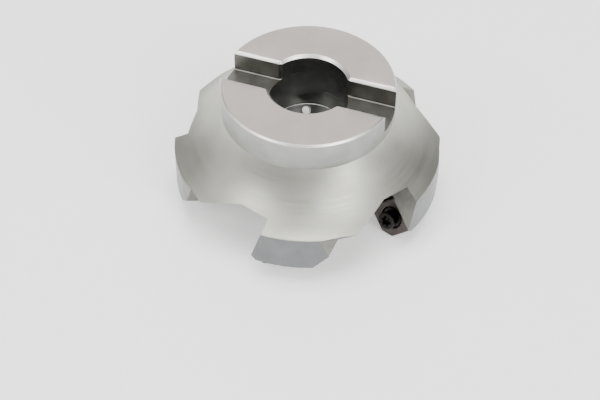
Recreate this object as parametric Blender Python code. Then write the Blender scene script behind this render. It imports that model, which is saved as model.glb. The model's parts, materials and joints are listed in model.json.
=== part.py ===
"""A 63 mm face mill: a five-tooth shell-mill body with its shims and screws.

The body is one turned and milled piece: a hub with a drive slot and a stepped
bore, a flared skirt, and a toothed rim. Every tooth has an insert pocket with
a shim, the hollow screw that holds the shim, and the screw that clamps the
insert. The pockets are shown without inserts.

Frame: origin on the spindle axis at the level of the lowest edge of the teeth,
+Z towards the spindle, +X along the drive slot. Metres.
"""
import math

import bmesh
import bpy
from mathutils import Matrix, Vector

MM = 0.001

# Body, turned profile
HEIGHT = 40.0 * MM
HUB_RADIUS = 24.0 * MM
HUB_CHAMFER = 0.5 * MM
RIM_RADIUS = 37.5 * MM
RIM_TOP_Z = 17.7 * MM
RIM_FOOT_Z = 6.8 * MM
FLARE_RIM_SLOPE = math.radians(30.0)
FLARE_HUB_SLOPE = math.radians(60.0)
FLARE_STEPS = 9
LAND_OUTER_RADIUS = 31.0 * MM
LAND_INNER_RADIUS = 28.2 * MM
LAND_BREAK = 0.3 * MM
HOLLOW_Z = 4.8 * MM
TURNED_STEPS = 96

# Bore, arbor screw seat and drive slot
BORE_RADIUS = 11.0 * MM
BORE_CHAMFER = 0.8 * MM
BORE_LEDGE_Z = 21.8 * MM
SCREW_HOLE_RADIUS = 5.5 * MM
COUNTERBORE_RADIUS = 9.0 * MM
COUNTERBORE_Z = 14.0 * MM
SLOT_WIDTH = 10.4 * MM
SLOT_DEPTH = 6.3 * MM
SLOT_CHAMFER = 0.7 * MM
SLOT_CORNER_RADIUS = 1.5 * MM
SLOT_ARC_STEPS = 4
SLOT_ARC_MARGIN = math.radians(12.0)

# Teeth: everything below is placed in a tooth's own frame, which is the
# part's frame turned so that +X points outwards through the tooth's seat
TEETH = 5
FIRST_TOOTH_ANGLE = math.radians(-19.3)
AXIAL_RAKE = math.radians(17.0)

# Gullet: a shallow V whose bottom slopes down and inwards at 45 degrees
VALLEY_Y = -7.27 * MM
VALLEY_OFFSET = 10.6 * MM
VALLEY_FLANK = 0.32
HEEL_NORMAL = Vector((0.582, 0.723, -0.373))
HEEL_OFFSET = -6.75 * MM
LIP_NORMAL = Vector((1.0, -0.946, -1.0))
LIP_OFFSET = 32.87 * MM
HEEL_FLAT_NORMAL = Vector((0.777, -0.629, 0.036))
HEEL_FLAT_OFFSET = 37.8 * MM

# Seat: its centre is the middle of the shim's top face
SEAT_CENTRE = Vector((29.6, 0.4, 5.6)) * MM
SEAT_DEPTH = 3.7 * MM
WALL_DISTANCE = 5.35 * MM
RELIEF_ANGLE = math.radians(20.0)
CORNER_RELIEF_RADIUS = 1.5 * MM
CORNER_RELIEF_DISTANCE = 5.5 * MM

# Coolant holes from the bore ledge to the gullets
COOLANT_RADIUS = 1.25 * MM
COOLANT_LEDGE_RADIUS = 8.3 * MM
COOLANT_ANGLE = math.radians(-14.0)
COOLANT_RUN = 17.0 * MM

# Shim and its hollow screw
GAP = 0.3 * MM
SHIM_THICKNESS = 3.2 * MM
SHIM_FREE_SIDE = 5.25 * MM
SHIM_FOOT_Y = -5.6 * MM
SHIM_SCREW_HEAD_RADIUS = 3.0 * MM
SHIM_SCREW_HEAD_HEIGHT = 1.2 * MM
SHIM_SCREW_RADIUS = 2.4 * MM
SHIM_SCREW_BORE_RADIUS = 1.8 * MM
SHIM_SCREW_LENGTH = 5.9 * MM

# Insert screw
INSERT_SCREW_HEAD_RADIUS = 2.6 * MM
INSERT_SCREW_TOP = 2.8 * MM
INSERT_SCREW_RIM = 0.6 * MM
INSERT_SCREW_NECK = 0.9 * MM
INSERT_SCREW_RADIUS = 1.5 * MM
INSERT_SCREW_LENGTH = 9.4 * MM
SOCKET_OUTER_RADIUS = 1.65 * MM
SOCKET_INNER_RADIUS = 1.15 * MM
SOCKET_DEPTH = 1.4 * MM
SOCKET_LOBES = 6

SCREW_HOLE_DEPTH = 7.2 * MM
REACH = 60.0 * MM


def clear_scene():
    """Remove every object of the scene that the script starts in."""
    for existing in list(bpy.data.objects):
        bpy.data.objects.remove(existing, do_unlink=True)


def make_material(name, colour, metallic, roughness):
    """Return a Principled material with one plain colour."""
    material = bpy.data.materials.new(name)
    material.use_nodes = True
    shader = material.node_tree.nodes["Principled BSDF"]
    shader.inputs["Base Color"].default_value = (*colour, 1.0)
    shader.inputs["Metallic"].default_value = metallic
    shader.inputs["Roughness"].default_value = roughness
    material.diffuse_color = (*colour, 1.0)
    return material


def add_object(name, mesh, matrix=None, material=None):
    """Link a mesh to the scene as a named, smooth-shaded object."""
    placed = bpy.data.objects.new(name, mesh)
    bpy.context.scene.collection.objects.link(placed)
    if matrix is not None:
        placed.matrix_world = matrix
    if material is not None:
        mesh.materials.append(material)
        mesh.shade_smooth()
        mesh.set_sharp_from_angle(angle=math.radians(30.0))
    return placed


def mesh_from_bmesh(name, shape):
    """Store a bmesh as a mesh with its faces pointing out."""
    bmesh.ops.recalc_face_normals(shape, faces=shape.faces)
    mesh = bpy.data.meshes.new(name)
    shape.to_mesh(mesh)
    shape.free()
    return mesh


def loft_mesh(name, rings):
    """Join closed rings of equal length into one capped solid."""
    shape = bmesh.new()
    loops = [[shape.verts.new(point) for point in ring] for ring in rings]
    count = len(loops[0])
    for lower, upper in zip(loops, loops[1:]):
        for index in range(count):
            following = (index + 1) % count
            corners = (lower[index], lower[following], upper[following], upper[index])
            shape.faces.new(corners)
    shape.faces.new(loops[0])
    shape.faces.new(loops[-1])
    return mesh_from_bmesh(name, shape)


def circle(radius, height, steps):
    """Points of a level circle about the local Z axis."""
    angles = (2.0 * math.pi * step / steps for step in range(steps))
    return [Vector((radius * math.cos(a), radius * math.sin(a), height)) for a in angles]


def turned_mesh(name, profile, steps):
    """Stack circles along local Z, from (radius, height) pairs, into a solid."""
    return loft_mesh(name, [circle(radius, height, steps) for radius, height in profile])


def half_space_mesh(name, planes):
    """Cut a large cube down to the region beyond every plane.

    Each plane is (normal, offset), and keeps the points whose dot product
    with the normal is larger than the offset.
    """
    shape = bmesh.new()
    bmesh.ops.create_cube(shape, size=2.0 * REACH)
    for normal, offset in planes:
        point = normal * (offset / normal.length_squared)
        everything = shape.verts[:] + shape.edges[:] + shape.faces[:]
        cut = bmesh.ops.bisect_plane(
            shape, geom=everything, plane_co=point, plane_no=-normal, clear_outer=True)
        rim = [item for item in cut["geom_cut"] if isinstance(item, bmesh.types.BMEdge)]
        bmesh.ops.contextual_create(shape, geom=rim)
    return mesh_from_bmesh(name, shape)


def tooth_frame(index):
    """Frame of one tooth: +X outwards through its seat, +Z up."""
    angle = FIRST_TOOTH_ANGLE + 2.0 * math.pi * index / TEETH
    return Matrix.Rotation(angle, 4, "Z")


def seat_frame(index):
    """Frame of one seat: +X outwards, +Y up the seat, +Z out of it."""
    tilt = Matrix.Rotation(math.pi / 2.0 - AXIAL_RAKE, 4, "X")
    return tooth_frame(index) @ Matrix.Translation(SEAT_CENTRE) @ tilt


def diamond(inner, outer, foot=None):
    """Outline of a seat shape whose sides lie at 45 degrees to +X and +Y.

    The inner distance places the two upper sides, which face the pocket's
    walls, and the outer distance the two lower ones. A foot height cuts the
    lower corner off level.
    """
    half = math.sqrt(0.5)
    top = Vector((0.0, 2.0 * inner * half))
    right = Vector(((inner + outer) * half, (inner - outer) * half))
    left = Vector((-(inner + outer) * half, (inner - outer) * half))
    bottom = Vector((0.0, -2.0 * outer * half))
    if foot is None:
        return [top, left, bottom, right]
    width = foot - bottom.y
    return [top, left, Vector((-width, foot)), Vector((width, foot)), right]


def flare_profile():
    """Concave arc of the skirt, from the hub's foot out to the rim's top."""
    radius_span = RIM_RADIUS - HUB_RADIUS
    arc = radius_span / (math.sin(FLARE_HUB_SLOPE) - math.sin(FLARE_RIM_SLOPE))
    points = []
    for step in range(FLARE_STEPS + 1):
        slope = FLARE_HUB_SLOPE + (FLARE_RIM_SLOPE - FLARE_HUB_SLOPE) * step / FLARE_STEPS
        radius = RIM_RADIUS - arc * (math.sin(slope) - math.sin(FLARE_RIM_SLOPE))
        height = RIM_TOP_Z + arc * (math.cos(FLARE_RIM_SLOPE) - math.cos(slope))
        points.append((radius, height))
    return points


def body_profile():
    """Closed section of the body: down its outer side, then up its bore."""
    outer = [
        (BORE_RADIUS + BORE_CHAMFER, HEIGHT),
        (HUB_RADIUS - HUB_CHAMFER, HEIGHT),
        (HUB_RADIUS, HEIGHT - HUB_CHAMFER),
        *flare_profile(),
        (RIM_RADIUS, RIM_FOOT_Z),
        (LAND_OUTER_RADIUS + LAND_BREAK, LAND_BREAK),
        (LAND_OUTER_RADIUS, 0.0),
        (LAND_INNER_RADIUS, 0.0),
        (LAND_INNER_RADIUS - HOLLOW_Z, HOLLOW_Z),
    ]
    inner = [
        (COUNTERBORE_RADIUS, HOLLOW_Z),
        (COUNTERBORE_RADIUS, COUNTERBORE_Z),
        (SCREW_HOLE_RADIUS, COUNTERBORE_Z),
        (SCREW_HOLE_RADIUS, BORE_LEDGE_Z),
        (BORE_RADIUS, BORE_LEDGE_Z),
        (BORE_RADIUS, HEIGHT - BORE_CHAMFER),
    ]
    return outer + inner


def slot_outline(growth):
    """Plan of the drive slot, with its four corners at the bore rounded.

    Between the corners the outline runs inside the bore. Growth widens the
    whole outline, which gives the slot's chamfer its top edge.
    """
    half = SLOT_WIDTH / 2.0 + growth
    corner = SLOT_CORNER_RADIUS - growth
    centre_y = SLOT_WIDTH / 2.0 + SLOT_CORNER_RADIUS
    centre_x = math.sqrt((BORE_RADIUS + SLOT_CORNER_RADIUS) ** 2 - centre_y ** 2)
    bearing = math.atan2(centre_y, centre_x)
    inside = BORE_RADIUS - 1.0 * MM
    start = -math.pi / 2.0
    sweep = bearing - math.pi + SLOT_ARC_MARGIN - start
    quarter = [Vector((REACH / 2.0, half))]
    for step in range(SLOT_ARC_STEPS + 1):
        aim = start + sweep * step / SLOT_ARC_STEPS
        quarter.append(Vector((centre_x + corner * math.cos(aim),
                               centre_y + corner * math.sin(aim))))
    quarter.append(Vector((inside * math.cos(bearing), inside * math.sin(bearing))))
    upper = quarter + [Vector((-point.x, point.y)) for point in reversed(quarter)]
    lower = [Vector((-point.x, -point.y)) for point in upper]
    return upper + lower


def slot_cutter():
    """Cutter of the drive slot, flared at the top by its chamfer."""
    over = 1.0 * MM
    levels = [
        (HEIGHT - SLOT_DEPTH, 0.0),
        (HEIGHT - SLOT_CHAMFER, 0.0),
        (HEIGHT + 0.1 * MM, SLOT_CHAMFER + 0.1 * MM),
        (HEIGHT + over, SLOT_CHAMFER + 0.1 * MM),
    ]
    rings = [[(p.x, p.y, level) for p in slot_outline(growth)] for level, growth in levels]
    return loft_mesh("slot_cutter", rings)


def seat_front_plane():
    """Plane of a tooth's front wall, which stands forward of its seat."""
    normal = Vector((0.0, -math.cos(AXIAL_RAKE), math.sin(AXIAL_RAKE)))
    return normal, normal.dot(SEAT_CENTRE) + SEAT_DEPTH


def gullet_cutter():
    """Cutter of the chip gullet in front of a tooth."""
    trailing = Vector((1.0, VALLEY_FLANK, -1.0))
    leading = Vector((1.0, -VALLEY_FLANK, -1.0))
    planes = [
        seat_front_plane(),
        (trailing, VALLEY_OFFSET + VALLEY_FLANK * VALLEY_Y),
        (leading, VALLEY_OFFSET - VALLEY_FLANK * VALLEY_Y),
    ]
    return half_space_mesh("gullet_cutter", planes)


def lip_cutter():
    """Cutter that clears the skirt's edge behind the heel of the tooth ahead."""
    return half_space_mesh("lip_cutter", [(LIP_NORMAL, LIP_OFFSET), (HEEL_NORMAL, HEEL_OFFSET)])


def heel_flat_cutter():
    """Cutter of the small flat on the rim at a tooth's trailing end."""
    return half_space_mesh("heel_flat_cutter", [(HEEL_FLAT_NORMAL, HEEL_FLAT_OFFSET)])


def seat_cutter():
    """Cutter of the insert pocket, open downwards and outwards.

    Its two walls lean outwards from the floor by the insert's relief angle.
    """
    over = 1.0 * MM
    rings = []
    for level in (-SHIM_THICKNESS - GAP, SEAT_DEPTH + over):
        wall = WALL_DISTANCE + level * math.tan(RELIEF_ANGLE)
        rings.append([(p.x, p.y, level) for p in diamond(wall, 14.0 * MM)])
    return loft_mesh("seat_cutter", rings)


def corner_relief_cutter():
    """Cutter of the round relief in the pocket's top corner."""
    height = 2.0 * CORNER_RELIEF_DISTANCE * math.sqrt(0.5)
    span = ((CORNER_RELIEF_RADIUS, -SHIM_THICKNESS), (CORNER_RELIEF_RADIUS, SEAT_DEPTH + 1.0 * MM))
    mesh = turned_mesh("corner_relief_cutter", span, 20)
    mesh.transform(Matrix.Translation((0.0, height, 0.0)))
    return mesh


def screw_hole_cutter():
    """Cutter of the threaded hole below the seat, drawn plain."""
    radius = SHIM_SCREW_RADIUS + GAP
    span = ((radius, -SCREW_HOLE_DEPTH), (radius, -SHIM_THICKNESS + GAP))
    return turned_mesh("screw_hole_cutter", span, 24)


def coolant_cutter():
    """Cutter of a coolant hole, sloping down and outwards at 45 degrees."""
    lead = 3.0 * MM
    reach = COOLANT_RUN * math.sqrt(2.0)
    mesh = turned_mesh("coolant_cutter", ((COOLANT_RADIUS, -lead), (COOLANT_RADIUS, reach)), 16)
    start = Vector((COOLANT_LEDGE_RADIUS, 0.0, BORE_LEDGE_Z))
    aim = Matrix.Rotation(math.radians(135.0), 4, "Y")
    mesh.transform(Matrix.Rotation(COOLANT_ANGLE, 4, "Z") @ Matrix.Translation(start) @ aim)
    return mesh


def cut(target, name, mesh, matrix):
    """Take one hidden cutter away from a piece with a Boolean modifier."""
    cutter = add_object(name, mesh, matrix)
    cutter.hide_render = True
    cutter.display_type = "WIRE"
    modifier = target.modifiers.new(name, "BOOLEAN")
    modifier.operation = "DIFFERENCE"
    modifier.solver = "EXACT"
    modifier.object = cutter


def settle(target):
    """Replace a piece's modifiers by their result and mark its sharp edges."""
    cutters = [step.object for step in target.modifiers if step.type == "BOOLEAN"]
    scene_state = bpy.context.evaluated_depsgraph_get()
    mesh = bpy.data.meshes.new_from_object(target.evaluated_get(scene_state))
    mesh.name = target.name
    target.modifiers.clear()
    target.data = mesh
    for cutter in cutters:
        bpy.data.objects.remove(cutter, do_unlink=True)
    mesh.shade_smooth()
    mesh.set_sharp_from_angle(angle=math.radians(30.0))


def make_body(material):
    """Turn the body and cut its slot, gullets, pockets and holes."""
    profile = body_profile()
    mesh = bpy.data.meshes.new("cutter_body")
    points = [(radius, 0.0, height) for radius, height in profile]
    edges = [(index, (index + 1) % len(points)) for index in range(len(points))]
    mesh.from_pydata(points, edges, [])
    body = add_object("cutter_body", mesh)
    mesh.materials.append(material)
    turning = body.modifiers.new("turning", "SCREW")
    turning.axis = "Z"
    turning.angle = 2.0 * math.pi
    turning.steps = TURNED_STEPS
    turning.render_steps = TURNED_STEPS
    turning.use_merge_vertices = True
    turning.merge_threshold = 0.00001
    turning.use_smooth_shade = True

    cut(body, "slot_cutter", slot_cutter(), Matrix.Identity(4))
    in_tooth = {
        "gullet_cutter": gullet_cutter(),
        "lip_cutter": lip_cutter(),
        "heel_flat_cutter": heel_flat_cutter(),
        "coolant_cutter": coolant_cutter(),
    }
    in_seat = {
        "seat_cutter": seat_cutter(),
        "corner_relief_cutter": corner_relief_cutter(),
        "screw_hole_cutter": screw_hole_cutter(),
    }
    for index in range(TEETH):
        for name, mesh in in_tooth.items():
            cut(body, f"{name}_{index + 1}", mesh, tooth_frame(index))
        for name, mesh in in_seat.items():
            cut(body, f"{name}_{index + 1}", mesh, seat_frame(index))
    settle(body)


def shim_mesh():
    """Shim: a tapered diamond with a stepped hole for its screw."""
    taper = SHIM_THICKNESS * math.tan(RELIEF_ANGLE)
    near_wall = WALL_DISTANCE - GAP
    top = diamond(near_wall, SHIM_FREE_SIDE, SHIM_FOOT_Y)
    bottom = diamond(near_wall - taper, SHIM_FREE_SIDE - taper, SHIM_FOOT_Y + taper)
    rings = [[(p.x, p.y, -SHIM_THICKNESS) for p in bottom], [(p.x, p.y, 0.0) for p in top]]
    return loft_mesh("shim", rings)


def shim_hole_mesh():
    """Cutter of the shim's stepped hole."""
    seat = SHIM_SCREW_HEAD_RADIUS + GAP
    shank = SHIM_SCREW_RADIUS + GAP
    step = -SHIM_SCREW_HEAD_HEIGHT - 2.0 * GAP
    over = 1.0 * MM
    profile = ((shank, -SHIM_THICKNESS - over), (shank, step), (seat, step), (seat, over))
    return turned_mesh("shim_hole_cutter", profile, 24)


def shim_screw_mesh():
    """Hollow screw: a flanged sleeve with the insert screw's bore through it."""
    top = -GAP
    shoulder = top - SHIM_SCREW_HEAD_HEIGHT
    foot = top - SHIM_SCREW_LENGTH
    bevel = 0.4 * MM
    outline = [
        (SHIM_SCREW_BORE_RADIUS + bevel, top),
        (SHIM_SCREW_HEAD_RADIUS, top),
        (SHIM_SCREW_HEAD_RADIUS, shoulder),
        (SHIM_SCREW_RADIUS, shoulder),
        (SHIM_SCREW_RADIUS, foot + bevel),
        (SHIM_SCREW_RADIUS - bevel, foot),
        (SHIM_SCREW_BORE_RADIUS, foot),
        (SHIM_SCREW_BORE_RADIUS, top - bevel),
    ]
    shape = bmesh.new()
    steps = 24
    rings = [[shape.verts.new(point) for point in circle(radius, height, steps)]
             for radius, height in outline]
    for upper, lower in zip(rings, rings[1:] + rings[:1]):
        for index in range(steps):
            following = (index + 1) % steps
            corners = (upper[index], upper[following], lower[following], lower[index])
            shape.faces.new(corners)
    return mesh_from_bmesh("shim_screw", shape)


def insert_screw_mesh():
    """Insert screw: countersunk head on a plain shank."""
    top = INSERT_SCREW_TOP
    foot = top - INSERT_SCREW_LENGTH
    bevel = 0.5 * MM
    profile = (
        (INSERT_SCREW_RADIUS - bevel, foot),
        (INSERT_SCREW_RADIUS, foot + bevel),
        (INSERT_SCREW_RADIUS, INSERT_SCREW_NECK),
        (INSERT_SCREW_HEAD_RADIUS, top - INSERT_SCREW_RIM),
        (INSERT_SCREW_HEAD_RADIUS, top - 0.2 * MM),
        (INSERT_SCREW_HEAD_RADIUS - 0.2 * MM, top),
    )
    return turned_mesh("insert_screw", profile, 24)


def socket_mesh():
    """Cutter of the insert screw's six-lobed socket."""
    steps = 8 * SOCKET_LOBES
    middle = (SOCKET_OUTER_RADIUS + SOCKET_INNER_RADIUS) / 2.0
    swing = (SOCKET_OUTER_RADIUS - SOCKET_INNER_RADIUS) / 2.0
    rings = []
    for level in (INSERT_SCREW_TOP - SOCKET_DEPTH, INSERT_SCREW_TOP + 1.0 * MM):
        ring = []
        for step in range(steps):
            angle = 2.0 * math.pi * step / steps
            radius = middle + swing * math.cos(SOCKET_LOBES * angle)
            ring.append((radius * math.cos(angle), radius * math.sin(angle), level))
        rings.append(ring)
    return loft_mesh("socket_cutter", rings)


def make_seat_pieces(index, materials, meshes):
    """Place the shim, its screw and the insert screw of one pocket."""
    frame = seat_frame(index)
    number = index + 1
    shim = add_object(f"shim_{number}", meshes["shim"].copy(), frame, materials["shim"])
    cut(shim, f"shim_hole_cutter_{number}", meshes["shim_hole"], frame)
    settle(shim)
    add_object(f"shim_screw_{number}", meshes["shim_screw"].copy(), frame, materials["screw"])
    screw = add_object(f"insert_screw_{number}", meshes["insert_screw"].copy(), frame,
                       materials["screw"])
    cut(screw, f"socket_cutter_{number}", meshes["socket"], frame)
    settle(screw)


def main():
    """Build the body and the pieces of its five pockets."""
    clear_scene()
    steel = make_material("plated_steel", (0.56, 0.55, 0.52), 1.0, 0.35)
    materials = {
        "shim": make_material("dark_shim", (0.05, 0.05, 0.05), 0.6, 0.5),
        "screw": make_material("black_screw", (0.04, 0.04, 0.04), 0.8, 0.4),
    }
    make_body(steel)
    meshes = {
        "shim": shim_mesh(),
        "shim_hole": shim_hole_mesh(),
        "shim_screw": shim_screw_mesh(),
        "insert_screw": insert_screw_mesh(),
        "socket": socket_mesh(),
    }
    for index in range(TEETH):
        make_seat_pieces(index, materials, meshes)


main()
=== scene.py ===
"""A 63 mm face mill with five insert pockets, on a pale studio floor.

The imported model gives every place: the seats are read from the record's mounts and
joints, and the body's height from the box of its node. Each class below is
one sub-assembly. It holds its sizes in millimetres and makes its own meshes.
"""
from __future__ import annotations

import json
import logging
import math
from dataclasses import dataclass
from enum import Enum

import bmesh
import bpy
import numpy as np
from mathutils import Matrix, Vector

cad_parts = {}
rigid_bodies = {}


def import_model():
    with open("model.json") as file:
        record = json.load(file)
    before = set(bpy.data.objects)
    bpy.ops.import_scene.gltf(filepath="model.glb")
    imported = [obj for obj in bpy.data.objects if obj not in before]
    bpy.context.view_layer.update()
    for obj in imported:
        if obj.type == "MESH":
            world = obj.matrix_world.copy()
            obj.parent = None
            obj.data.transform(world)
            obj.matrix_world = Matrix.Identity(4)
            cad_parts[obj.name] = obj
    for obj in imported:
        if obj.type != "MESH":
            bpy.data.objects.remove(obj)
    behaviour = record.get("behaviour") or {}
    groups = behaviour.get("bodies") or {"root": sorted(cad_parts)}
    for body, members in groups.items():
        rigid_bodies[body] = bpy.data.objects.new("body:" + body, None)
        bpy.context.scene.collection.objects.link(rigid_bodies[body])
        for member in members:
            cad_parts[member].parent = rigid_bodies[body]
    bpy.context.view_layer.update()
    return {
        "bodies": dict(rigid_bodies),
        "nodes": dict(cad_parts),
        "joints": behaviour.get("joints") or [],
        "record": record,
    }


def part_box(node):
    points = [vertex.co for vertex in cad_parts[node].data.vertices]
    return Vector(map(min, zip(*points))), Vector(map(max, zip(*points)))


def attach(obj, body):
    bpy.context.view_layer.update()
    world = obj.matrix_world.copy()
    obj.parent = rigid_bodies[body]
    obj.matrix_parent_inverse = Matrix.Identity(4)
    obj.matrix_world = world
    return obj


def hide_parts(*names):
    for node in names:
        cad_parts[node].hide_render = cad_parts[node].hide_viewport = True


MM = 0.001
TEETH = 5
# Distance of an insert seat's mount from the seat's centre, in millimetres.
MOUNT_OFFSET = 5.0
# Half the side of the block that cutters with flat faces are cut from.
TOOL_REACH = 60.0
# Faces that meet at a larger angle than this keep a sharp edge.
SHARP_ANGLE = math.radians(35.0)

log = logging.getLogger("face_mill")


# ---------------------------------------------------------------- finishes

def linear(hex_colour: str) -> tuple[float, float, float, float]:
    """Turn an sRGB hex colour into linear red, green, blue and alpha.

    Args:
        hex_colour: six hex digits after a hash sign.

    Returns:
        The colour as Blender's shader sockets want it.
    """
    share = np.array([int(hex_colour[i:i + 2], 16) for i in (1, 3, 5)]) / 255.0
    flat = np.where(share <= 0.04045, share / 12.92, ((share + 0.055) / 1.055) ** 2.4)
    return (*(float(channel) for channel in flat), 1.0)


def add_node(tree: bpy.types.NodeTree, kind: str, inputs: dict | None = None,
             **settings: object) -> bpy.types.Node:
    """Add one shader node, set it up and link it.

    Args:
        tree: the node tree that gets the node.
        kind: the node's class name after "ShaderNode".
        inputs: input socket, by name or number, to a plain value or to an output
            socket that is linked to it.
        settings: the node's own properties.

    Returns:
        The new node.
    """
    node = tree.nodes.new("ShaderNode" + kind)
    for name, value in settings.items():
        setattr(node, name, value)
    for name, value in (inputs or {}).items():
        if isinstance(value, bpy.types.NodeSocket):
            tree.links.new(value, node.inputs[name])
        else:
            node.inputs[name].default_value = value
    return node


class Lay(Enum):
    """Direction of the marks that a surface's last operation left on it."""

    RINGS = "turned or ground: rings round the spindle axis"
    FEED = "milled: straight marks that slope across each tooth"
    GRAIN = "no direction"


@dataclass(frozen=True)
class Finish:
    """One finish: a metal, its colours and the marks that its making left.

    The two colours differ as thin plating or oxide does from place to place. Pitch
    is the spacing of the tool marks, depth their height, and cloud the size of the
    larger patches, all in millimetres.
    """

    name: str
    colour: str
    shade: str
    roughness: float
    spread: float
    lay: Lay
    pitch: float
    depth: float
    cloud: float
    anisotropy: float = 0.0

    def _mark_vector(self, tree: bpy.types.NodeTree,
                     place: bpy.types.NodeSocket) -> bpy.types.NodeSocket:
        """Return coordinates in which the marks' noise runs along its lay.

        Args:
            tree: the material's node tree.
            place: object coordinates in metres.

        Returns:
            A vector socket, in metres across the marks and compressed along them.
        """
        if self.lay is Lay.GRAIN:
            return place
        parts = add_node(tree, "SeparateXYZ", {0: place}).outputs
        radius = add_node(tree, "Math", {0: add_node(tree, "Math", {
            0: parts[0], 1: parts[0]}, operation="MULTIPLY").outputs[0], 1: add_node(
            tree, "Math", {0: parts[1], 1: parts[1]}, operation="MULTIPLY").outputs[0]},
            operation="ADD")
        radius = add_node(tree, "Math", {0: radius.outputs[0]}, operation="SQRT").outputs[0]
        angle = add_node(tree, "Math", {0: parts[1], 1: parts[0]}, operation="ARCTAN2").outputs[0]
        if self.lay is Lay.RINGS:
            along = add_node(tree, "Math", {0: angle, 1: 0.3 * MM}, operation="MULTIPLY")
            return add_node(tree, "CombineXYZ", {
                0: radius, 1: parts[2], 2: along.outputs[0]}).outputs[0]
        around = add_node(tree, "Math", {0: angle, 1: 34.0 * MM}, operation="MULTIPLY")
        across = add_node(tree, "Math", {0: around.outputs[0], 1: parts[2]}, operation="ADD")
        along = add_node(tree, "Math", {0: radius, 1: 0.06}, operation="MULTIPLY")
        return add_node(tree, "CombineXYZ", {0: across.outputs[0], 1: along.outputs[0]}).outputs[0]

    def material(self) -> bpy.types.Material:
        """Build the finish as a node material, once.

        Returns:
            The material, named for its finish.
        """
        made = bpy.data.materials.get(self.name)
        if made is not None:
            return made
        made = bpy.data.materials.new(self.name)
        made.use_nodes = True
        tree = made.node_tree
        shader = tree.nodes["Principled BSDF"]
        shader.inputs["Metallic"].default_value = 1.0
        shader.inputs["Anisotropic"].default_value = self.anisotropy
        place = add_node(tree, "TexCoord").outputs["Object"]
        clouds = add_node(tree, "TexNoise", {
            "Vector": place, "Scale": 1.0 / (self.cloud * MM), "Detail": 3.0})
        tint = add_node(tree, "Mix", {
            0: add_node(tree, "MapRange", {
                0: clouds.outputs[0], 1: 0.35, 2: 0.65}).outputs[0],
            6: linear(self.colour), 7: linear(self.shade)}, data_type="RGBA")
        tree.links.new(tint.outputs[2], shader.inputs["Base Color"])
        marks = add_node(tree, "TexNoise", {
            "Vector": self._mark_vector(tree, place), "Scale": 1.0 / (self.pitch * MM),
            "Detail": 2.0, "Roughness": 0.6})
        rough = add_node(tree, "MapRange", {
            0: marks.outputs[0], 1: 0.3, 2: 0.7,
            3: self.roughness - self.spread, 4: self.roughness + self.spread})
        tree.links.new(rough.outputs[0], shader.inputs["Roughness"])
        bump = add_node(tree, "Bump", {
            "Height": marks.outputs[0], "Strength": 1.0, "Distance": self.depth * MM})
        tree.links.new(bump.outputs[0], shader.inputs["Normal"])
        if self.anisotropy > 0.0:
            # Rings stretch a reflection across themselves: the tangent runs along
            # them, at right angles to the radius.
            parts = add_node(tree, "SeparateXYZ", {0: place}).outputs
            back = add_node(tree, "Math", {0: parts[1], 1: -1.0}, operation="MULTIPLY")
            around = add_node(tree, "CombineXYZ", {0: back.outputs[0], 1: parts[0]})
            tree.links.new(around.outputs[0], shader.inputs["Tangent"])
        return made


# Nickel-plated tool steel, ground: a warm, even grey with the faintest rings.
GROUND_NICKEL = Finish("ground_nickel_plate", "#CDC5C1", "#C4BDB9", 0.42, 0.04,
                       Lay.RINGS, 0.35, 0.0008, 9.0)
# The same plate over a finely turned surface: clear streaks round the hub and bore, its colour
# darker than the top's as painted shade on the upright faces.
TURNED_NICKEL_PAINTED_SHADE = Finish("turned_plate_painted_shade", "#A2A29F", "#969693", 0.36, 0.05,
                       Lay.RINGS, 0.45, 0.0012, 7.0, 0.95)
# The same plate over a turned and vapour-blasted skirt: a soft greenish satin.
BLASTED_NICKEL = Finish("blasted_nickel_plate", "#B4B4AC", "#A9A9A0", 0.42, 0.04,
                        Lay.RINGS, 0.6, 0.0012, 11.0, 0.3)
# The rim is turned last; its colour is cooler and darker than the skirt's, a painted shade.
RIM_NICKEL_PAINTED_SHADE = Finish("rim_plate_painted_shade", "#737475", "#6A6B6C", 0.36, 0.05,
                    Lay.RINGS, 0.5, 0.0018, 6.0, 0.4)
# The bore keeps its turned surface; its colour is the darkest, painted shade inside the bore.
BORE_PAINTED_SHADE = Finish("turned_bore_painted_shade", "#8A8A88", "#7C7C7A", 0.32, 0.05,
                    Lay.RINGS, 0.45, 0.0012, 7.0, 0.6)
# Chamfered edges with a painted highlight: a brighter colour, and smoother than what they border.
EDGE_PAINTED_HIGHLIGHT = Finish("edge_painted_highlight", "#F0EEEA", "#E6E4E0", 0.38, 0.03,
                        Lay.GRAIN, 0.6, 0.001, 5.0)
# Milled plate with fine feed marks, its colour darkened as painted shade in the drive slot and
# gullets.
MILLED_NICKEL_PAINTED_SHADE = Finish("milled_plate_painted_shade", "#7C7B76", "#6E6D68", 0.38, 0.06,
                       Lay.FEED, 0.5, 0.0022, 4.0)
# The pockets are milled after plating: bare steel, its colour darkened as painted shade in the
# recesses.
POCKET_STEEL_PAINTED_SHADE = Finish("pocket_steel_painted_shade", "#5E5853", "#4C4743", 0.40, 0.08,
                     Lay.FEED, 0.45, 0.0025, 3.0)
# Cemented carbide, ground: nearly black with a dull shine.
GROUND_CARBIDE = Finish("ground_carbide", "#5F5854", "#504A47", 0.38, 0.06,
                        Lay.GRAIN, 0.25, 0.0012, 2.5)
# Black-oxide steel: a thin dark film that shines a little.
BLACK_OXIDE = Finish("black_oxide_steel", "#353331", "#282726", 0.35, 0.07,
                     Lay.GRAIN, 0.2, 0.0012, 1.5)


# ---------------------------------------------------------------- meshes

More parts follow.
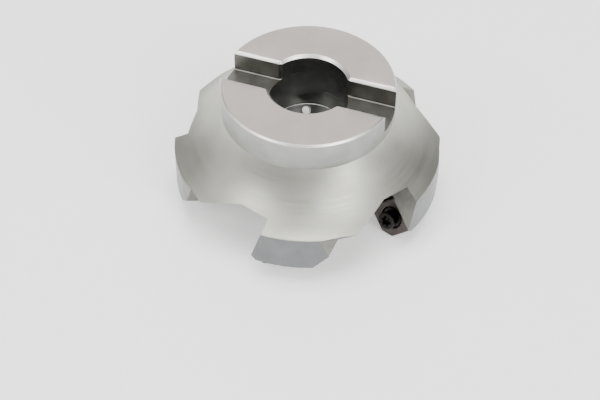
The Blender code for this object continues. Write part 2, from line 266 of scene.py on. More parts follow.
def store(name: str, points: np.ndarray, faces: list, slots: np.ndarray | None = None,
          finishes: tuple[Finish, ...] = ()) -> bpy.types.Mesh:
    """Put points and faces into a mesh whose faces point outwards.

    Args:
        name: the mesh's name.
        points: one row of x, y, z in metres for each vertex.
        faces: lists of vertex numbers.
        slots: the finish number of each face.
        finishes: the finishes that the numbers stand for.

    Returns:
        The mesh, smooth except over its sharp edges.
    """
    mesh = bpy.data.meshes.new(name)
    mesh.from_pydata(points.tolist(), [], faces)
    for finish in finishes:
        mesh.materials.append(finish.material())
    if slots is not None:
        mesh.polygons.foreach_set("material_index", slots.astype(np.int32))
    shape = bmesh.new()
    shape.from_mesh(mesh)
    bmesh.ops.recalc_face_normals(shape, faces=shape.faces)
    shape.to_mesh(mesh)
    shape.free()
    mesh.shade_smooth()
    mesh.set_sharp_from_angle(angle=SHARP_ANGLE)
    return mesh


def ring_faces(rows: int, columns: int, closed: bool) -> list:
    """Quads of a grid whose columns close round, and whose rows may close too.

    Args:
        rows: number of rings.
        columns: number of points in a ring.
        closed: whether the last ring joins the first, as on a torus. Otherwise one
            face closes each end.

    Returns:
        Lists of vertex numbers, ring by ring, then the end faces.
    """
    row = np.arange(rows if closed else rows - 1)[:, None]
    column = np.arange(columns)[None, :]
    above, beside = (row + 1) % rows, (column + 1) % columns
    quads = np.stack([row * columns + column, row * columns + beside,
                      above * columns + beside, above * columns + column], axis=-1)
    faces = quads.reshape(-1, 4).tolist()
    if not closed:
        faces += [list(range(columns)), list(range((rows - 1) * columns, rows * columns))]
    return faces


def ring_mesh(name: str, grid: np.ndarray, closed: bool, finishes: tuple[Finish, ...],
              row_slots: np.ndarray | None = None) -> bpy.types.Mesh:
    """Make a mesh from a grid of rings.

    Args:
        name: the mesh's name.
        grid: rows by columns by 3, in millimetres.
        closed: whether the rings close on themselves.
        finishes: the finishes in use.
        row_slots: the finish number of each band between two rings.

    Returns:
        The mesh, in metres.
    """
    rows, columns = grid.shape[:2]
    faces = ring_faces(rows, columns, closed)
    slots = np.zeros(len(faces), np.int32)
    if row_slots is not None:
        slots[:len(row_slots) * columns] = np.repeat(row_slots, columns)
        if not closed:
            slots[-2:] = (row_slots[0], row_slots[-1])
    return store(name, grid.reshape(-1, 3) * MM, faces, slots, finishes)


def rounded(corners: list[tuple[float, float, float]], steps: int) -> np.ndarray:
    """Round the corners of a closed outline.

    Each corner is cut back along both of its sides by the length that a circle of
    its radius needs, and a quadratic curve, whose middle control point is the
    corner, joins the two cuts. Runs of points with no radius stay as they are.

    Args:
        corners: x, y and radius of every corner.
        steps: points on each rounded corner.

    Returns:
        The outline's points.
    """
    data = np.array(corners, float)
    place, radius = data[:, :2], data[:, 2]
    before, after = np.roll(place, 1, axis=0) - place, np.roll(place, -1, axis=0) - place
    far_before, far_after = np.linalg.norm(before, axis=1), np.linalg.norm(after, axis=1)
    before, after = before / far_before[:, None], after / far_after[:, None]
    turn = np.pi - np.arccos(np.clip((before * after).sum(1), -1.0, 1.0))
    cut = np.minimum(radius * np.tan(turn / 2.0), 0.45 * np.minimum(far_before, far_after))
    share = np.linspace(0.0, 1.0, steps)[None, :, None]
    start = (place + before * cut[:, None])[:, None, :]
    end = (place + after * cut[:, None])[:, None, :]
    middle = place[:, None, :]
    curve = (1 - share) ** 2 * start + 2 * share * (1 - share) * middle + share ** 2 * end
    kept = [curve[i] if radius[i] > 0.0 else place[i:i + 1] for i in range(len(data))]
    return np.concatenate(kept)


def turned(profile: np.ndarray, columns: int) -> np.ndarray:
    """Carry a profile round the Z axis.

    Args:
        profile: radius and height of each ring, in millimetres.
        columns: points in each ring, evenly spaced.

    Returns:
        The grid: radius times cosine and sine of the ring's angle, and height.
    """
    angle = np.linspace(0.0, 2.0 * np.pi, columns, endpoint=False)
    radius, height = profile[:, :1], profile[:, 1:]
    return np.stack([radius * np.cos(angle), radius * np.sin(angle),
                     height + 0.0 * angle], axis=-1)


def half_spaces(planes: list[tuple[Vector, float]], reach: float) -> tuple[np.ndarray, list]:
    """Cut a cube down to the region beyond every plane.

    Args:
        planes: normals with offsets in millimetres. What is kept has a dot product
            with the normal that is larger than the offset.
        reach: half the side of the cube in millimetres.

    Returns:
        The points in millimetres and the faces of the convex body that is left.
    """
    shape = bmesh.new()
    bmesh.ops.create_cube(shape, size=2.0 * reach)
    for normal, offset in planes:
        everything = shape.verts[:] + shape.edges[:] + shape.faces[:]
        cut = bmesh.ops.bisect_plane(
            shape, geom=everything, plane_co=normal * (offset / normal.length_squared),
            plane_no=-normal, clear_outer=True)
        rim = [item for item in cut["geom_cut"] if isinstance(item, bmesh.types.BMEdge)]
        bmesh.ops.contextual_create(shape, geom=rim)
    shape.verts.ensure_lookup_table()
    shape.verts.index_update()
    points = np.array([vertex.co for vertex in shape.verts])
    faces = [[vertex.index for vertex in face.verts] for face in shape.faces]
    shape.free()
    return points, faces


def repeat(points: np.ndarray, faces: list, frames: list[np.ndarray]) -> tuple[np.ndarray, list]:
    """Copy a body into several frames and join the copies.

    Args:
        points: points in millimetres.
        faces: lists of vertex numbers.
        frames: 4 by 4 matrices in millimetres.

    Returns:
        The points and faces of all the copies.
    """
    placed = [points @ frame[:3, :3].T + frame[:3, 3] for frame in frames]
    count = len(points)
    joined = [[number + count * copy for number in face]
              for copy in range(len(frames)) for face in faces]
    return np.concatenate(placed), joined


# ---------------------------------------------------------------- seats

@dataclass
class Seat:
    """Where one pocket's shim lies: its frame has +X outwards, +Z off the seat."""

    number: int
    frame: np.ndarray

    @classmethod
    def from_record(cls, record: dict, number: int) -> "Seat":
        """Read a seat's frame from its mount and from its shim's joint.

        The mount lies on the seat's outward axis. That axis is level and square to
        the joint's, so it is the joint's axis turned a quarter about the vertical.

        Args:
            record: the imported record.
            number: the tooth's number, from 1.

        Returns:
            The seat, its frame in millimetres.
        """
        mount = next(m for m in record["mounts"] if m["name"] == f"insert_seat_{number}")
        joint = next(j for j in record["behaviour"]["joints"] if j["name"] == f"shim_lift_{number}")
        normal = np.array(joint["axis"], float)
        level = np.array([-normal[1], normal[0], 0.0])
        outward = level / np.linalg.norm(level)
        frame = np.eye(4)
        frame[:3, 0] = outward
        frame[:3, 1] = np.cross(normal, outward)
        frame[:3, 2] = normal
        frame[:3, 3] = np.array(mount["pos_m"], float) / MM - MOUNT_OFFSET * outward
        return cls(number, frame)

    def tooth_frame(self) -> np.ndarray:
        """Frame of the seat's tooth: its origin on the spindle axis, +Z up."""
        outward = self.frame[:3, 0]
        frame = np.eye(4)
        frame[:3, 0] = outward
        frame[:3, 1] = (-outward[1], outward[0], 0.0)
        return frame


def place_piece(name: str, mesh: bpy.types.Mesh, body: str) -> bpy.types.Object:
    """Make an object that stands for the CAD node of a body of one node.

    Args:
        name: the piece's name.
        mesh: its mesh, in the row frame.
        body: the body it rides on, which is also the node it replaces.

    Returns:
        The object.
    """
    piece = bpy.data.objects.new(name, mesh)
    bpy.context.scene.collection.objects.link(piece)
    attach(piece, body)
    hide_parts(body)
    log.info("%s: %d faces on body %s", name, len(mesh.polygons), body)
    return piece


def apply_modifiers(piece: bpy.types.Object) -> None:
    """Replace an object's mesh by what its modifiers make of it, and drop them."""
    state = bpy.context.evaluated_depsgraph_get()
    piece.data = bpy.data.meshes.new_from_object(piece.evaluated_get(state))
    piece.modifiers.clear()


# ---------------------------------------------------------------- body

@dataclass
class CutterBody:
    """The turned and milled body: hub, skirt, rim, bore, slot, gullets, pockets."""

    height: float
    columns: int = 288
    rim_radius: float = 37.5
    hub_radius: float = 24.0
    hub_chamfer: float = 0.5
    rim_top: float = 17.7
    rim_foot: float = 6.8
    flare_rim_slope: float = math.radians(30.0)
    flare_hub_slope: float = math.radians(60.0)
    flare_steps: int = 30
    land_outer: float = 31.0
    land_inner: float = 28.2
    hollow_top: float = 4.8
    bore_radius: float = 11.0
    bore_chamfer: float = 0.8
    bore_ledge: float = 21.8
    screw_hole_radius: float = 5.5
    counterbore_radius: float = 9.0
    counterbore_top: float = 14.0
    slot_width: float = 10.4
    slot_depth: float = 6.3
    slot_chamfer: float = 0.7
    slot_corner: float = 1.5
    slot_fillet: float = 0.4
    axial_rake: float = math.radians(17.0)
    seat_depth: float = 3.7
    wall_distance: float = 5.35
    shim_thickness: float = 3.2
    relief_angle: float = math.radians(20.0)
    coolant_radius: float = 1.25
    coolant_ledge_radius: float = 8.3
    coolant_angle: float = math.radians(-14.0)

    def profile(self) -> tuple[np.ndarray, np.ndarray]:
        """Section of the body: down its outer side, then up its bore.

        The skirt is a concave arc: its slope runs evenly from the hub's to the
        rim's, and radius and height follow from the slope's sine and cosine.

        Returns:
            Radius and height of each point, and the finish number of each band.
        """
        slope = np.linspace(self.flare_hub_slope, self.flare_rim_slope, self.flare_steps)
        arc = self.flare_arc()
        flare = np.stack([
            self.rim_radius - arc * (np.sin(slope) - math.sin(self.flare_rim_slope)),
            self.rim_top + arc * (math.cos(self.flare_rim_slope) - np.cos(slope))], axis=-1)
        foot = self.hollow_top
        corners = [
            (self.bore_radius + self.bore_chamfer, self.height, 0.12),
            (self.hub_radius - self.hub_chamfer, self.height, 0.12),
            (self.hub_radius, self.height - self.hub_chamfer, 0.12),
            (*flare[0], 0.15),
            *((*point, 0.0) for point in flare[1:-1]),
            (*flare[-1], 0.25),
            (self.rim_radius, self.rim_foot, 0.25),
            (self.land_outer, 0.0, 0.3),
            (self.land_inner, 0.0, 0.3),
            (self.land_inner - foot, foot, 0.4),
            (self.counterbore_radius + 0.5, foot, 0.0),
            (self.counterbore_radius, foot + 0.5, 0.0),
            (self.counterbore_radius, self.counterbore_top, 0.3),
            (self.screw_hole_radius, self.counterbore_top, 0.2),
            (self.screw_hole_radius, self.bore_ledge, 0.2),
            (self.bore_radius, self.bore_ledge, 0.4),
            (self.bore_radius, self.height - self.bore_chamfer, 0.12),
        ]
        outline = rounded(corners, 6)
        middle = (outline + np.roll(outline, -1, axis=0)) / 2.0
        return outline, self.band_finish(middle)

    def flare_arc(self) -> float:
        """Return the radius of the skirt's concave arc."""
        return (self.rim_radius - self.hub_radius) / (
            math.sin(self.flare_hub_slope) - math.sin(self.flare_rim_slope))

    def flare_top(self) -> float:
        """Return the height at which the skirt meets the hub."""
        return self.rim_top + self.flare_arc() * (
            math.cos(self.flare_rim_slope) - math.cos(self.flare_hub_slope))

    def band_finish(self, middle: np.ndarray) -> np.ndarray:
        """Finish number of a band of the turned body from where its middle lies.

        Args:
            middle: radius and height of the middle of each band.

        Returns:
            0 ground, 1 turned with painted shade, 2 blasted, 3 rim with painted shade, 4 edge with
            painted highlight, 5 bore with painted shade.
        """
        radius, height = middle[:, 0], middle[:, 1]
        slot = np.full(len(middle), 1)
        slot[radius < self.land_inner - 0.5] = 5
        slot[height > self.height - 0.02] = 0
        slot[(radius > self.hub_radius - 0.6) & (height > self.flare_top()) & (slot != 0)] = 1
        # Chamfers at the top take the edge colour, a painted highlight.
        near_top = (height > self.height - 0.55) & (height <= self.height - 0.02)
        slot[near_top & (radius > self.hub_radius - 0.6)] = 4
        slot[(height > self.height - 0.85) & (radius < 12.0) & (height <= self.height - 0.02)] = 4
        skirt = (radius > self.hub_radius + 0.02) & (height > self.rim_top - 0.05)
        slot[skirt] = 2
        # The rim's bands take the rim colour, darkened as painted shade.
        slot[(radius > self.land_outer) & (height <= self.rim_top - 0.05)] = 3
        return slot

    def slot_tool(self) -> bpy.types.Mesh:
        """Cutter of the drive slot: its plan at a stack of levels.

        The plan is a strip whose four corners at the bore are rounded, and that
        runs inside the bore between them. Growth widens it. It is negative on the
        fillet at the floor, by a quarter circle, and positive on the chamfer.

        Returns:
            The cutter's mesh.
        """
        turn = np.linspace(0.0, np.pi / 2.0, 5)
        floor = self.height - self.slot_depth
        fillet = self.slot_fillet
        rise = np.concatenate([
            floor + fillet * (1.0 - np.cos(turn)),
            self.height - self.slot_chamfer + np.array([-0.12, 0.0, 0.12]),
            self.height + np.array([-0.1, 0.0, 1.0])])
        growth = np.concatenate([
            -fillet * (1.0 - np.sin(turn)), (0.0, 0.03, 0.12),
            np.array([-0.1, 0.06, 0.3]) + self.slot_chamfer])
        rings = [self.slot_plan(wider) for wider in growth]
        grid = np.stack([np.column_stack([ring, np.full(len(ring), level)])
                         for ring, level in zip(rings, rise)])
        # The slot's walls take the milled colour, a painted shade; its chamfer takes the edge
        # colour, a painted highlight.
        bands = np.array([0] * 5 + [1] * (len(rise) - 6))
        return ring_mesh("drive_slot_tool", grid, False, (MILLED_NICKEL_PAINTED_SHADE, EDGE_PAINTED_HIGHLIGHT), bands)

    def slot_plan(self, growth: float) -> np.ndarray:
        """Plan of the drive slot.

        Args:
            growth: how much wider than the slot it is on every side.

        Returns:
            Its outline, counter-clockwise.
        """
        half = self.slot_width / 2.0 + growth
        radius = self.slot_corner - growth
        centre_y = self.slot_width / 2.0 + self.slot_corner
        centre_x = math.sqrt((self.bore_radius + self.slot_corner) ** 2 - centre_y ** 2)
        bearing = math.atan2(centre_y, centre_x)
        aim = np.linspace(-np.pi / 2.0, bearing - np.pi + math.radians(12.0), 9)
        inside = self.bore_radius - 1.0
        quarter = np.concatenate([
            [[45.0, half]],
            np.stack([centre_x + radius * np.cos(aim), centre_y + radius * np.sin(aim)], axis=-1),
            [[inside * math.cos(bearing), inside * math.sin(bearing)]]])
        upper = np.concatenate([quarter, quarter[::-1] * (-1.0, 1.0)])
        return np.concatenate([upper, -upper])

    def tooth_tools(self, name: str, planes: list[tuple[Vector, float]],
                    seats: list[Seat]) -> list[bpy.types.Mesh]:
        """Cutters with flat faces, one for every tooth.

        Args:
            name: the meshes' name.
            planes: their faces in a tooth's frame.
            seats: the seats.

        Returns:
            One mesh for each tooth, each on its own because they overlap.
        """
        points, faces = half_spaces(planes, TOOL_REACH)
        tools = []
        for seat in seats:
            placed, same = repeat(points, faces, [seat.tooth_frame()])
            # The faces these tools cut take the milled colour, darkened as painted shade.
            tools.append(store(name, placed * MM, same, np.zeros(len(same)), (MILLED_NICKEL_PAINTED_SHADE,)))
        return tools

    def gullet_planes(self, seat: Seat) -> list[tuple[Vector, float]]:
        """Faces of a chip gullet: the front wall and a shallow V at 45 degrees.

        Args:
            seat: any seat, for the height and place of its centre.

        Returns:
            Plane normals and offsets in the tooth's frame.
        """
        centre = Vector(np.linalg.inv(seat.tooth_frame())[:3, :3] @ seat.frame[:3, 3])
        wall = Vector((0.0, -math.cos(self.axial_rake), math.sin(self.axial_rake)))
        flank, valley, offset = 0.32, -7.27, 10.6
        return [(wall, wall.dot(centre) + self.seat_depth),
                (Vector((1.0, flank, -1.0)), offset + flank * valley),
                (Vector((1.0, -flank, -1.0)), offset - flank * valley)]

    def seat_tool(self, seats: list[Seat]) -> bpy.types.Mesh:
        """Cutter of the pockets: a diamond that widens away from the seat's floor.

        Args:
            seats: the seats.

        Returns:
            The mesh of all five copies.
        """
        level = np.array([-self.shim_thickness - 0.3, self.seat_depth + 1.0])[:, None]
        wall = self.wall_distance + level * math.tan(self.relief_angle)
        outer = 14.0
        half = math.sqrt(0.5)
        side, drop = (wall + outer) * half, (wall - outer) * half
        x = np.concatenate([0.0 * wall, -side, 0.0 * wall, side], axis=1)
        y = np.concatenate([2.0 * wall * half, drop, 0.0 * wall - 2.0 * outer * half, drop], axis=1)
        grid = np.stack([x, y, level + 0.0 * x], axis=-1)
        faces = ring_faces(2, 4, False)
        points, faces = repeat(grid.reshape(-1, 3), faces, [seat.frame for seat in seats])
        return store("pocket_tool", points * MM, faces, np.zeros(len(faces)), (POCKET_STEEL_PAINTED_SHADE,))

    def drill(self, name: str, profile: list[tuple[float, float]], columns: int,
              frames: list[np.ndarray], finish: Finish) -> bpy.types.Mesh:
        """Round cutter, repeated in several frames.

        Args:
            name: the mesh's name.
            profile: radius and height pairs along the cutter's own axis.
            columns: points round it.
            frames: where the copies go, in millimetres.
            finish: the finish that it leaves.

        Returns:
            The mesh of all the copies.
        """
        grid = turned(np.array(profile), columns)
        faces = ring_faces(len(profile), columns, False)
        points, faces = repeat(grid.reshape(-1, 3), faces, frames)
        return store(name, points * MM, faces, np.zeros(len(faces)), (finish,))

    def coolant_frames(self, seats: list[Seat]) -> list[np.ndarray]:
        """Frames of the coolant holes: down and outwards at 45 degrees.

        Args:
            seats: the seats.

        Returns:
            One matrix for each hole, in millimetres.
        """
        start = Matrix.Translation((self.coolant_ledge_radius, 0.0, self.bore_ledge))
        aim = Matrix.Rotation(self.coolant_angle, 4, "Z") @ start
        aim = np.array(aim @ Matrix.Rotation(math.radians(135.0), 4, "Y"))
        return [seat.tooth_frame() @ aim for seat in seats]

    def tools(self, seats: list[Seat]) -> list[bpy.types.Mesh]:
        """Return all the cutters for these seats, in the order in which they are used."""
        lip = [(Vector((1.0, -0.946, -1.0)), 32.87), (Vector((0.582, 0.723, -0.373)), -6.75)]
        heel = [(Vector((0.777, -0.629, 0.036)), 37.8)]
        hole = self.shim_thickness
        corner = np.eye(4)
        corner[1, 3] = 11.0 * math.sqrt(0.5)
        return [
            self.slot_tool(),
            *self.tooth_tools("gullet_tool", self.gullet_planes(seats[0]), seats),
            *self.tooth_tools("lip_tool", lip, seats),
            *self.tooth_tools("heel_tool", heel, seats),
            self.seat_tool(seats),
            self.drill("corner_tool", [(1.5, -hole), (1.5, self.seat_depth + 1.0)], 32,
                       [seat.frame @ corner for seat in seats], POCKET_STEEL_PAINTED_SHADE),
            self.drill("tapped_hole_tool", [(2.7, -7.2), (2.7, 0.3 - hole)], 32,
                       [seat.frame for seat in seats], POCKET_STEEL_PAINTED_SHADE),
            self.drill("coolant_tool", [(self.coolant_radius, -3.0), (self.coolant_radius, 24.0)],
                       24, self.coolant_frames(seats), BORE_PAINTED_SHADE),
        ]

    def build(self, seats: list[Seat]) -> bpy.types.Object:
        """Turn the body, make every cut, and place it.

        Args:
            seats: the seats.

        Returns:
            The finished piece.
        """
        outline, bands = self.profile()
        mesh = ring_mesh("body", turned(outline, self.columns), True,
                         (GROUND_NICKEL, TURNED_NICKEL_PAINTED_SHADE, BLASTED_NICKEL, RIM_NICKEL_PAINTED_SHADE,
                          EDGE_PAINTED_HIGHLIGHT, BORE_PAINTED_SHADE), bands)
        blank = bpy.data.objects.new("body_blank", mesh)
        bpy.context.scene.collection.objects.link(blank)
        for tool in self.tools(seats):
            cutter = bpy.data.objects.new(tool.name, tool)
            bpy.context.scene.collection.objects.link(cutter)
            step = blank.modifiers.new(tool.name, "BOOLEAN")
            step.operation = "DIFFERENCE"
            step.solver = "EXACT"
            step.material_mode = "TRANSFER"
            step.object = cutter
            apply_modifiers(blank)
            bpy.data.objects.remove(cutter, do_unlink=True)
        blank.data.shade_smooth()
        blank.data.set_sharp_from_angle(angle=SHARP_ANGLE)
        # Large flat faces keep their own normals beside the small rounded edges.
        even = blank.modifiers.new("even_normals", "WEIGHTED_NORMAL")
        even.keep_sharp = True
        even.weight = 100
        apply_modifiers(blank)
        mesh = blank.data
        mesh.name = "milled_body"
        bpy.data.objects.remove(blank, do_unlink=True)
        return place_piece("milled_body", mesh, "cutter_body")


# ---------------------------------------------------------------- pocket pieces

@dataclass
class Shim:
    """Tapered diamond plate with a stepped hole for its screw."""

    thickness: float = 3.2
    near_side: float = 5.05
    free_side: float = 5.25
    foot: float = 5.6
    relief_angle: float = math.radians(20.0)
    edge: float = 0.12
    recess_radius: float = 3.3
    recess_depth: float = 1.8
    hole_radius: float = 2.7
    columns: int = 144

    def outline(self, level: np.ndarray, inset: np.ndarray) -> np.ndarray:
        """Distance of the plate's edge from its centre, all the way round.

        In each direction, every side stands at its own distance divided by the
        cosine of the angle to it. The nearest side counts, and a high power mean
        in place of a plain minimum rounds the corners.

        Args:
            level: height of each ring below the top, as a column.
            inset: how far each ring stays inside the outline, as a column.

        Returns:
            Rows by columns of distances.
        """
        angle = np.linspace(0.0, 2.0 * np.pi, self.columns, endpoint=False)
        facing = np.radians([45.0, 135.0, 225.0, 315.0, 270.0])
        distance = np.array([self.near_side, self.near_side, self.free_side, self.free_side,
                             self.foot])
        shrink = (level * math.tan(self.relief_angle) - inset)[:, None]
        reach = distance[None, :, None] + shrink[:, :, None]
        closeness = np.clip(np.cos(angle[None, None, :] - facing[None, :, None]), 1e-3, 1.0) / reach
        power = 46.0
        return (closeness ** power).sum(axis=1) ** (-1.0 / power)

    def mesh(self, seat: Seat) -> bpy.types.Mesh:
        """Surface of the plate: up its side, over its top, down its hole and back.

        Args:
            seat: the seat that it lies on.

        Returns:
            The mesh in the row frame.
        """
        edge, deep = self.edge, -self.thickness
        level = np.array([deep, deep + edge, -edge, -0.3 * edge, 0.0, 0.0])
        inset = np.array([edge, 0.0, 0.0, 0.3 * edge, edge, 0.6])
        side = self.outline(level, inset)
        hole = [(self.recess_radius + edge, 0.0), (self.recess_radius, -edge),
                (self.recess_radius, -self.recess_depth),
                (self.hole_radius + edge, -self.recess_depth),
                (self.hole_radius, -self.recess_depth - edge), (self.hole_radius, deep + edge),
                (self.hole_radius + edge, deep)]
        wall = np.array([radius for radius, _ in hole])[:, None] + np.zeros(self.columns)
        reach = np.concatenate([side, wall])
        height = np.concatenate([level, [z for _, z in hole]])[:, None]
        angle = np.linspace(0.0, 2.0 * np.pi, self.columns, endpoint=False)
        grid = np.stack([reach * np.cos(angle), reach * np.sin(angle),
                         height + 0.0 * reach], axis=-1)
        grid = grid @ seat.frame[:3, :3].T + seat.frame[:3, 3]
        return ring_mesh(f"shim_{seat.number}", grid, True, (GROUND_CARBIDE,))


def thread(radius: float, height: np.ndarray, angle: np.ndarray, pitch: float, depth: float,
           low: float, high: float) -> np.ndarray:
    """Radius of a screw thread.

    The phase grows by one for every pitch of height and falls by one for every
    turn. The radius falls from the crest to the root and back in a rounded V once
    in each phase, and the depth fades out over one pitch at both ends.

    Args:
        radius: crest radius.
        height: height of each ring, as a column.
        angle: angle of each column, as a row.
        pitch: distance between crests.
        depth: depth of the thread, negative for one inside a bore.
        low: where the thread starts.
        high: where it ends.

    Returns:
        Rows by columns of radii.
    """
    phase = height / pitch - angle / (2.0 * np.pi)
    dip = np.abs((phase % 1.0) * 2.0 - 1.0)
    dip = np.clip(1.15 * (1.0 - dip) - 0.08, 0.0, 1.0)
    fade = np.clip(np.minimum(height - low, high - height) / pitch, 0.0, 1.0)
    return radius - depth * dip * fade


@dataclass
class ShimScrew:
    """Hollow screw: a flanged sleeve with a hexagon socket and threads in and out."""

    head_radius: float = 3.0
    head_height: float = 1.2
    radius: float = 2.4
    bore: float = 1.8
    length: float = 5.9
    gap: float = 0.3
    socket_depth: float = 1.3
    pitch: float = 0.6
    columns: int = 72

    def mesh(self, seat: Seat) -> bpy.types.Mesh:
        """Surface of the sleeve: down its outside, then up its bore.

        The hexagon socket's radius is the bore's divided by the cosine of the
        angle to the nearest flat.

        Args:
            seat: the seat that it is screwed through.

        Returns:
            The mesh in the row frame.
        """
        top, foot = -self.gap, -self.gap - self.length
        shoulder = top - self.head_height
        angle = np.linspace(0.0, 2.0 * np.pi, self.columns, endpoint=False)
        shank = np.arange(shoulder - 0.1, foot + 0.35, -self.pitch / 8.0)[:, None]
        outside = thread(self.radius, shank, angle, self.pitch, 0.3, foot, shoulder - 0.3)
        inner = np.arange(foot + 0.2, top - self.socket_depth - 0.2, 0.5 / 8.0)[:, None]
        inside = thread(self.bore, inner, angle, 0.5, 0.22, foot, top - self.socket_depth)
        flat = np.abs((angle + np.pi / 6.0) % (np.pi / 3.0) - np.pi / 6.0)
        hexagon = 1.02 * self.bore / np.cos(flat)
        plain = np.ones(self.columns)
        rows = [(top, self.head_radius - 0.12 + 0 * plain), (top - 0.12, self.head_radius * plain),
                (shoulder + 0.1, self.head_radius * plain),
                (shoulder, (self.head_radius - 0.1) * plain),
                (shoulder, (self.radius + 0.1) * plain)]
        tail = [(foot + 0.25, self.radius * plain), (foot, (self.radius - 0.3) * plain),
                (foot, (self.bore + 0.15) * plain)]
        socket = [(top - self.socket_depth - 0.1, self.bore * plain),
                  (top - self.socket_depth, hexagon), (top - 0.15, hexagon), (top, hexagon + 0.15)]
        height = np.concatenate([
            [z for z, _ in rows], shank[:, 0], [z for z, _ in tail], inner[:, 0],
            [z for z, _ in socket]])[:, None]
        radius = np.concatenate([
            [r for _, r in rows], outside, [r for _, r in tail], inside, [r for _, r in socket]])
        grid = np.stack([radius * np.cos(angle), radius * np.sin(angle),
                         height + 0.0 * radius], axis=-1)
        grid = grid @ seat.frame[:3, :3].T + seat.frame[:3, 3]
        return ring_mesh(f"shim_screw_{seat.number}", grid, True, (BLACK_OXIDE,))


@dataclass
class InsertScrew:
    """Countersunk screw with a six-lobed socket and a fine thread."""

    head_radius: float = 2.6
    top: float = 2.8
    rim: float = 0.6
    neck: float = 0.9
    radius: float = 1.5
    length: float = 9.4
    pitch: float = 0.5
    socket_outer: float = 1.65
    socket_inner: float = 1.15
    socket_depth: float = 1.4
    lobes: int = 6
    columns: int = 96

    def mesh(self, seat: Seat) -> bpy.types.Mesh:
        """Surface of the screw: from its tip up the thread, over the head, into the socket.

        The socket's radius swings between its inner and outer radius with the
        cosine of six times the angle. Rows on the head's face blend from that
        outline to the head's circle.

        Args:
            seat: the seat whose insert it would hold.

        Returns:
            The mesh in the row frame.
        """
        foot = self.top - self.length
        angle = np.linspace(0.0, 2.0 * np.pi, self.columns, endpoint=False)
        plain = np.ones(self.columns)
        run = np.arange(foot + 0.35, self.neck - 0.2, self.pitch / 8.0)[:, None]
        cut = thread(self.radius, run, angle, self.pitch, 0.28, foot, -0.6)
        lobe = (self.socket_outer + self.socket_inner) / 2.0 + (
            self.socket_outer - self.socket_inner) / 2.0 * np.cos(self.lobes * angle)
        rim_low = self.top - self.rim
        tip = [(foot, 0.25 * plain), (foot, (self.radius - 0.4) * plain)]
        head = [(self.neck, self.radius * plain),
                (rim_low - 0.1, (self.head_radius - 0.08) * plain),
                (rim_low + 0.05, self.head_radius * plain),
                (self.top - 0.2, self.head_radius * plain),
                (self.top - 0.06, (self.head_radius - 0.06) * plain),
                (self.top, (self.head_radius - 0.2) * plain),
                (self.top, 0.5 * (self.head_radius - 0.2 + lobe + 0.12)),
                (self.top, lobe + 0.12), (self.top - 0.12, lobe),
                (self.top - self.socket_depth, lobe * 0.96),
                (self.top - self.socket_depth - 0.25, 0.3 * plain)]
        height = np.concatenate([[z for z, _ in tip], run[:, 0], [z for z, _ in head]])[:, None]
        radius = np.concatenate([[r for _, r in tip], cut, [r for _, r in head]])
        grid = np.stack([radius * np.cos(angle), radius * np.sin(angle),
                         height + 0.0 * radius], axis=-1)
        grid = grid @ seat.frame[:3, :3].T + seat.frame[:3, 3]
        return ring_mesh(f"insert_screw_{seat.number}", grid, False, (BLACK_OXIDE,))


def fit_pocket(seat: Seat) -> None:
    """Place the shim, its screw and the insert screw of one pocket.

    Args:
        seat: the pocket's seat.
    """
    number = seat.number
    place_piece(f"carbide_shim_{number}", Shim().mesh(seat), f"shim_{number}")
    place_piece(f"hollow_screw_{number}", ShimScrew().mesh(seat), f"shim_screw_{number}")
    place_piece(f"clamp_screw_{number}", InsertScrew().mesh(seat), f"insert_screw_{number}")


# ---------------------------------------------------------------- studio

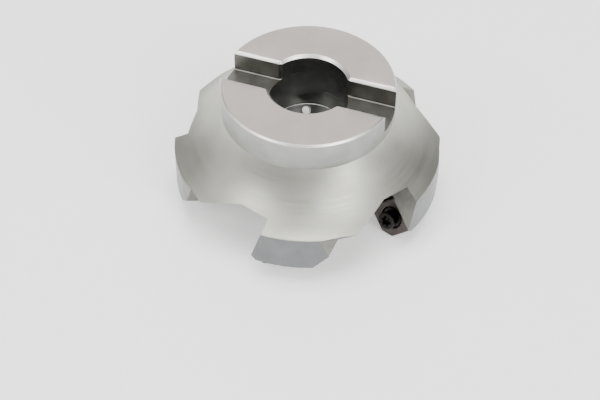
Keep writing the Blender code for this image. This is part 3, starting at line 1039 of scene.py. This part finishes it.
@dataclass
class Studio:
    """Pale floor, soft lights and the camera."""

    floor_size: float = 6.0
    floor_colour: str = "#FCFCFC"
    floor_glow: float = 0.5
    room_bands: float = 3.2
    room_dark: float = 0.03
    room_bright: float = 1.1
    lens: float = 89.9
    camera_place: tuple[float, float, float] = (0.09323, -0.28190, 0.31900)
    camera_target: tuple[float, float, float] = (-0.00193, -0.00065, -0.00706)
    camera_roll: float = math.radians(0.36)

    def floor(self) -> None:
        """Lay the floor just under the teeth."""
        half = self.floor_size / 2.0
        points = np.array([(-half, -half, 0.0), (half, -half, 0.0), (half, half, 0.0),
                           (-half, half, 0.0)]) - (0.0, 0.0, 0.0001)
        mesh = bpy.data.meshes.new("floor")
        mesh.from_pydata(points.tolist(), [], [(0, 1, 2, 3)])
        paint = bpy.data.materials.new("lit_white_acrylic")
        paint.use_nodes = True
        shader = paint.node_tree.nodes["Principled BSDF"]
        shader.inputs["Base Color"].default_value = linear(self.floor_colour)
        shader.inputs["Roughness"].default_value = 0.9
        shader.inputs["Specular IOR Level"].default_value = 0.1
        shader.inputs["Emission Color"].default_value = linear(self.floor_colour)
        shader.inputs["Emission Strength"].default_value = self.floor_glow
        mesh.materials.append(paint)
        floor = bpy.data.objects.new("floor", mesh)
        bpy.context.scene.collection.objects.link(floor)

    def softbox(self, name: str, place: tuple[float, float, float], size: tuple[float, float],
                power: float) -> None:
        """Hang one area light that looks at the mill.

        Args:
            name: the light's name.
            place: where it hangs, in metres.
            size: its width and height in metres.
            power: its power in watts.
        """
        light = bpy.data.lights.new(name, "AREA")
        light.shape = "RECTANGLE"
        light.size, light.size_y = size
        light.energy = power
        lamp = bpy.data.objects.new(name, light)
        lamp.location = place
        aim = Vector((0.0, 0.0, 0.02)) - Vector(place)
        lamp.rotation_mode = "QUATERNION"
        lamp.rotation_quaternion = aim.to_track_quat("-Z", "Y")
        bpy.context.scene.collection.objects.link(lamp)

    def surroundings(self) -> None:
        """Fill the room with a soft light that has brighter and darker sides.

        The brightness follows a noise over the level part of the direction, so
        upright turned faces show soft upright bands.
        """
        world = bpy.data.worlds.new("studio")
        world.use_nodes = True
        tree = world.node_tree
        way = add_node(tree, "Mapping", {
            0: add_node(tree, "TexCoord").outputs["Generated"], 3: (1.0, 1.0, 0.25)})
        patches = add_node(tree, "TexNoise", {
            "Vector": way.outputs[0], "Scale": self.room_bands, "Detail": 1.0})
        light = add_node(tree, "MapRange", {
            0: patches.outputs[0], 1: 0.38, 2: 0.62, 3: self.room_dark, 4: self.room_bright})
        sky = tree.nodes["Background"]
        sky.inputs["Color"].default_value = linear("#D8D8D6")
        tree.links.new(light.outputs[0], sky.inputs["Strength"])
        bpy.context.scene.world = world

    def camera(self) -> None:
        """Place the camera: it looks down at about 47 degrees."""
        lens = bpy.data.cameras.new("camera")
        lens.lens = self.lens
        lens.sensor_width = 36.0
        lens.clip_start, lens.clip_end = 0.01, 20.0
        eye = bpy.data.objects.new("camera", lens)
        place, target = Vector(self.camera_place), Vector(self.camera_target)
        eye.location = place
        eye.rotation_mode = "QUATERNION"
        turn = (target - place).to_track_quat("-Z", "Y").to_matrix()
        roll = Matrix.Rotation(self.camera_roll, 3, "Z")
        eye.rotation_quaternion = (turn @ roll).to_quaternion()
        bpy.context.scene.collection.objects.link(eye)
        bpy.context.scene.camera = eye

    def build(self) -> None:
        """Set up the floor, the lights and the camera."""
        self.floor()
        self.surroundings()
        self.softbox("overhead_box", (0.0, -0.1, 1.7), (1.1, 1.1), 33.0)
        self.softbox("back_box", (-0.5, 1.3, 1.1), (1.6, 0.7), 4.5)
        self.softbox("front_left_box", (-0.65, -0.9, 1.05), (0.5, 0.6), 8.0)
        self.softbox("front_right_box", (0.95, -0.75, 1.05), (0.5, 0.6), 9.0)
        self.softbox("left_box", (-1.3, -0.6, 0.45), (0.35, 0.9), 2.5)
        self.softbox("right_box", (1.4, -0.7, 0.45), (0.35, 0.9), 10.0)
        self.camera()


# ---------------------------------------------------------------- main


def main() -> None:
    """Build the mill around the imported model, and the studio around the mill."""
    logging.basicConfig(level=logging.INFO)
    for leftover in list(bpy.data.objects):
        bpy.data.objects.remove(leftover, do_unlink=True)
    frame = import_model()
    seats = [Seat.from_record(frame["record"], number) for number in range(1, TEETH + 1)]
    body = CutterBody(height=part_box("cutter_body")[1].z / MM)
    body.build(seats)
    for seat in seats:
        fit_pocket(seat)
    Studio().build()


if __name__ == "__main__":
    main()
